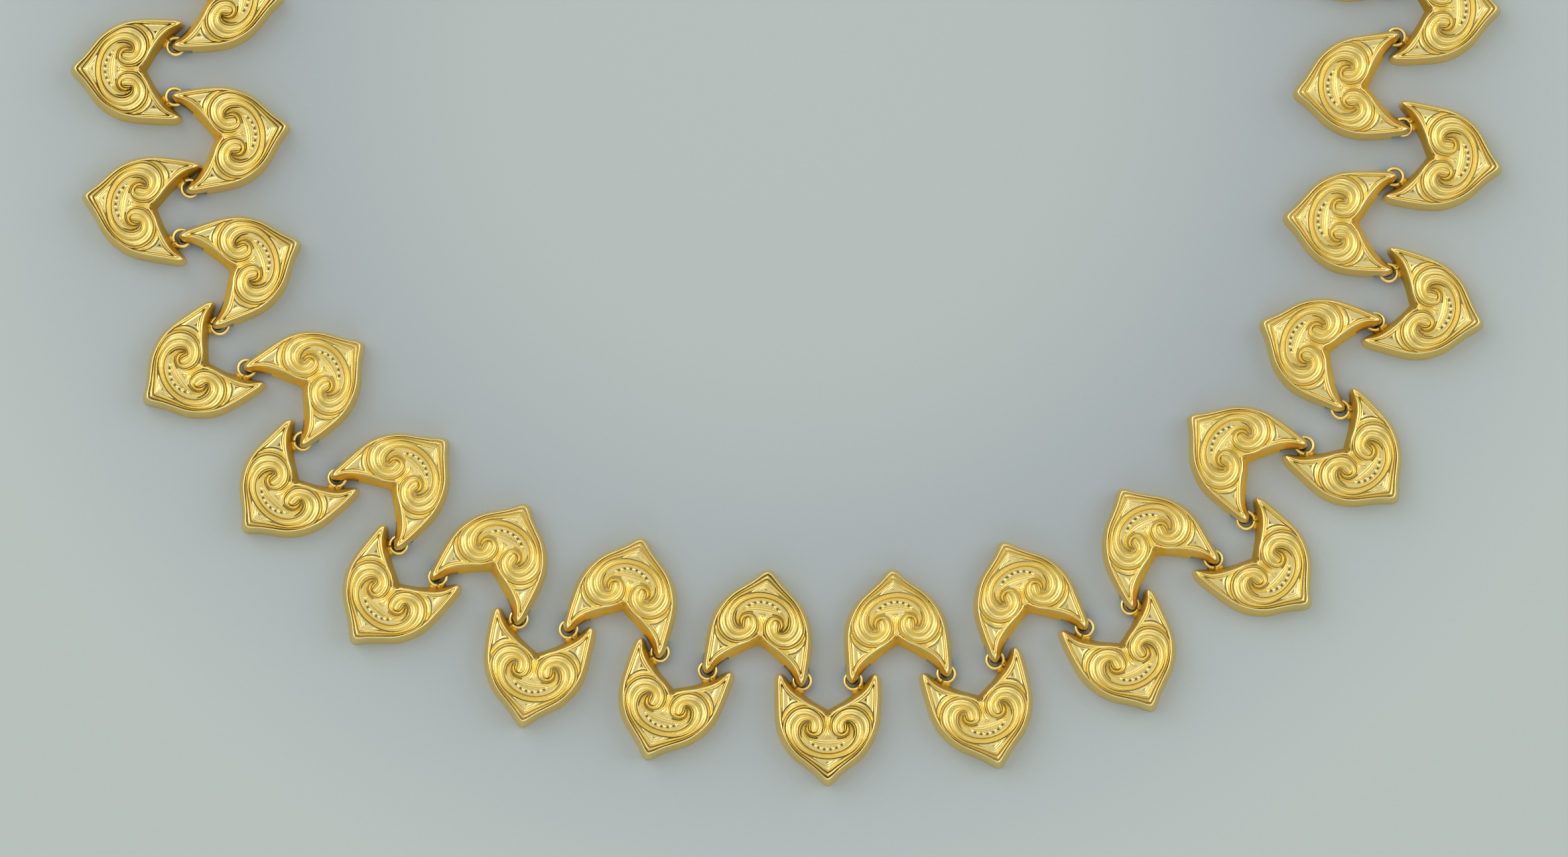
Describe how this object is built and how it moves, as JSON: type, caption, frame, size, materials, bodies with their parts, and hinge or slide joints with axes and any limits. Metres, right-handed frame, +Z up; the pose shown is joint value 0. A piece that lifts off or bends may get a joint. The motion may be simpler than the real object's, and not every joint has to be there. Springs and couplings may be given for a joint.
{
  "type": "necklace",
  "caption": "Gold collar necklace of hooked ivy-leaf links with double-spiral relief, lying flat in a ring with its faces up, closed by a plain plate clasp.",
  "frame": {"origin": "centre of the ring's box, on the table under it", "axes": "+Z up out of the links' faces, -Y towards the front centre of the necklace, +X to the right of the picture"},
  "size_m": [0.1544, 0.1546, 0.0026],
  "materials": {
    "cast_gold": "satin yellow gold, bright on the ridges and brown in the hollows",
    "plain_gold": "plain satin yellow gold"
  },
  "bodies": {
    "root": {"link_01": "cast_gold", "link_02": "cast_gold", "link_03": "cast_gold", "link_04": "cast_gold", "link_05": "cast_gold", "link_06": "cast_gold", "link_07": "cast_gold", "link_08": "cast_gold", "link_09": "cast_gold", "link_10": "cast_gold", "link_11": "cast_gold", "link_12": "cast_gold", "link_13": "cast_gold", "link_14": "cast_gold", "link_15": "cast_gold", "link_16": "cast_gold", "link_17": "cast_gold", "link_18": "cast_gold", "link_19": "cast_gold", "link_20": "cast_gold", "link_21": "cast_gold", "link_22": "cast_gold", "link_23": "cast_gold", "link_24": "cast_gold", "link_25": "cast_gold", "link_26": "cast_gold", "link_27": "cast_gold", "link_28": "cast_gold", "link_29": "cast_gold", "link_30": "cast_gold", "back_links_right": "cast_gold", "clasp": "plain_gold", "back_links_left": "cast_gold"}
  },
  "joints": []
}
